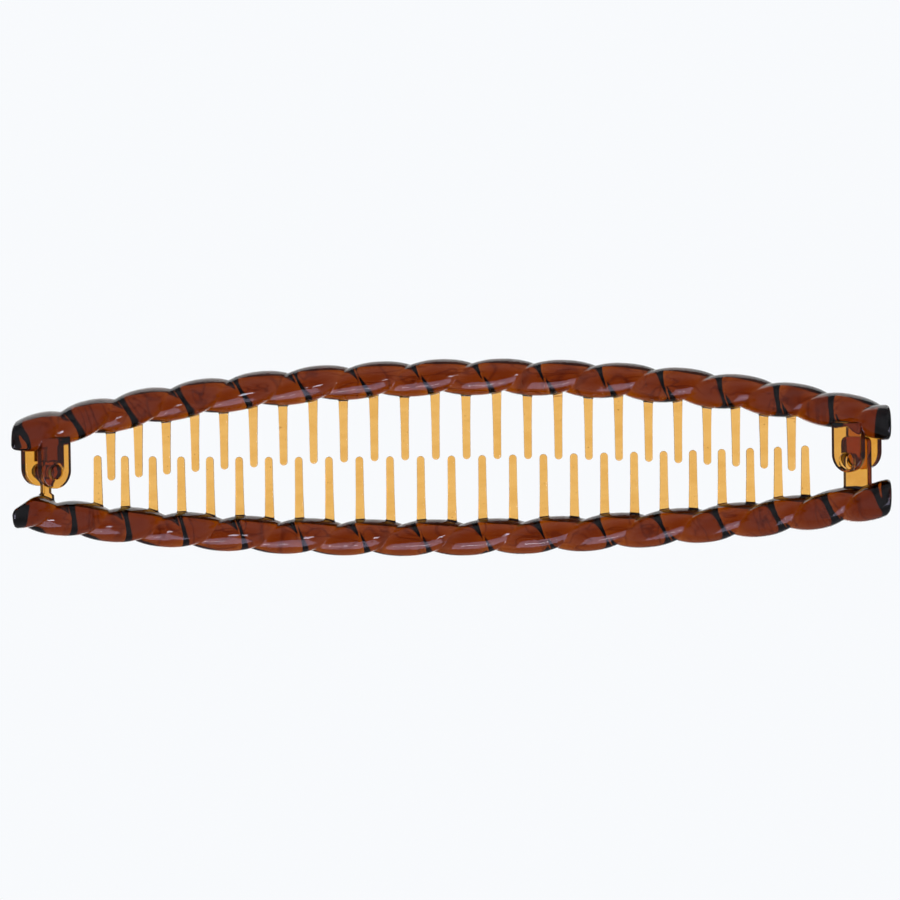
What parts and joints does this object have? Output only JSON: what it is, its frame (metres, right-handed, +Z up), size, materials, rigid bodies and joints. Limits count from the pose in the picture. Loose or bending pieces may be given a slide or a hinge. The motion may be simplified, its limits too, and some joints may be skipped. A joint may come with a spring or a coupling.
{
  "type": "banana hair clip",
  "caption": "Bowed interlocking banana hair clip: two comb halves with twisted-rope rims and interleaved teeth, hinged at one end and snapped shut by a tongue and stud at the other.",
  "frame": {"origin": "centre of the bounding box at the underside, where the bowed clip rests on its convex side", "axes": "+X along the clip from the hinge to the latch; +Y across, toward the comb that carries the ears; +Z up, into the hollow that faces the head"},
  "size_m": [0.1516, 0.0352, 0.0381],
  "materials": {
    "rope_amber": "polished transparent tortoiseshell amber, dark because it is thick",
    "tooth_amber": "polished transparent amber, light because it is thin",
    "lug_amber": "polished transparent amber",
    "pin_amber": "polished transparent amber"
  },
  "bodies": {
    "upper_comb": {"upper_rope_rail": "rope_amber", "upper_tooth_01": "tooth_amber", "upper_tooth_02": "tooth_amber", "upper_tooth_03": "tooth_amber", "upper_tooth_04": "tooth_amber", "upper_tooth_05": "tooth_amber", "upper_tooth_06": "tooth_amber", "upper_tooth_07": "tooth_amber", "upper_tooth_08": "tooth_amber", "upper_tooth_09": "tooth_amber", "upper_tooth_10": "tooth_amber", "upper_tooth_11": "tooth_amber", "upper_tooth_12": "tooth_amber", "upper_tooth_13": "tooth_amber", "upper_tooth_14": "tooth_amber", "upper_tooth_15": "tooth_amber", "upper_tooth_16": "tooth_amber", "upper_tooth_17": "tooth_amber", "upper_tooth_18": "tooth_amber", "upper_tooth_19": "tooth_amber", "upper_tooth_20": "tooth_amber", "upper_tooth_21": "tooth_amber", "upper_tooth_22": "tooth_amber", "upper_tooth_23": "tooth_amber", "upper_tooth_24": "tooth_amber", "hinge_ear_front": "lug_amber", "hinge_ear_back": "lug_amber", "hinge_web": "lug_amber", "latch_ear_front": "lug_amber", "latch_ear_back": "lug_amber"},
    "lower_comb": {"lower_rope_rail": "rope_amber", "lower_tooth_01": "tooth_amber", "lower_tooth_02": "tooth_amber", "lower_tooth_03": "tooth_amber", "lower_tooth_04": "tooth_amber", "lower_tooth_05": "tooth_amber", "lower_tooth_06": "tooth_amber", "lower_tooth_07": "tooth_amber", "lower_tooth_08": "tooth_amber", "lower_tooth_09": "tooth_amber", "lower_tooth_10": "tooth_amber", "lower_tooth_11": "tooth_amber", "lower_tooth_12": "tooth_amber", "lower_tooth_13": "tooth_amber", "lower_tooth_14": "tooth_amber", "lower_tooth_15": "tooth_amber", "lower_tooth_16": "tooth_amber", "lower_tooth_17": "tooth_amber", "lower_tooth_18": "tooth_amber", "lower_tooth_19": "tooth_amber", "lower_tooth_20": "tooth_amber", "lower_tooth_21": "tooth_amber", "lower_tooth_22": "tooth_amber", "lower_tooth_23": "tooth_amber", "lower_tooth_24": "tooth_amber", "lower_tooth_25": "tooth_amber", "hinge_post": "lug_amber", "hinge_pin": "pin_amber", "latch_tongue": "lug_amber", "latch_stud": "pin_amber"}
  },
  "joints": [
    {"name": "comb_hinge", "type": "hinge", "parent": "upper_comb", "child": "lower_comb", "pos_m": [-0.0705, 0, 0.02917], "axis": [-0.6468, 0, -0.7627], "range_deg": [0, 55]}
  ]
}
